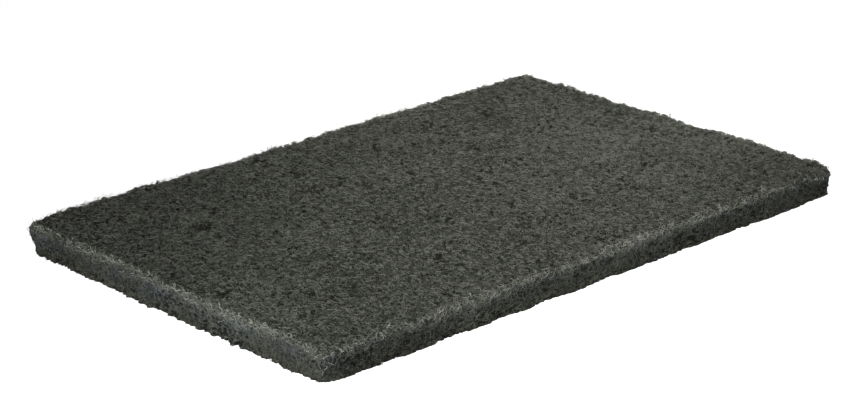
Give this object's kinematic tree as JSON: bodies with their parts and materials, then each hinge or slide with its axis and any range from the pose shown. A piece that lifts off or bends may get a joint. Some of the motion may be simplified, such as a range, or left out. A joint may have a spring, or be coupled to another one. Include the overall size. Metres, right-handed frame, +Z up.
{
  "type": "non-woven abrasive pad",
  "caption": "Flat rectangular hand pad of dark grey lofty non-woven fibre web, with a matted face, soft rolled edges and a frayed die-cut wall, for scuffing and cleaning.",
  "frame": {"origin": "centre of the flat face that the pad rests on", "axes": "+X along the long side, +Y along the short side, +Z up through the thickness"},
  "size_m": [0.2313, 0.1512, 0.0105],
  "materials": {
    "fibre": "dull dark grey nylon fibre web bonded with resin and grit"
  },
  "bodies": {
    "root": {"abrasive_pad": "fibre"}
  },
  "joints": []
}
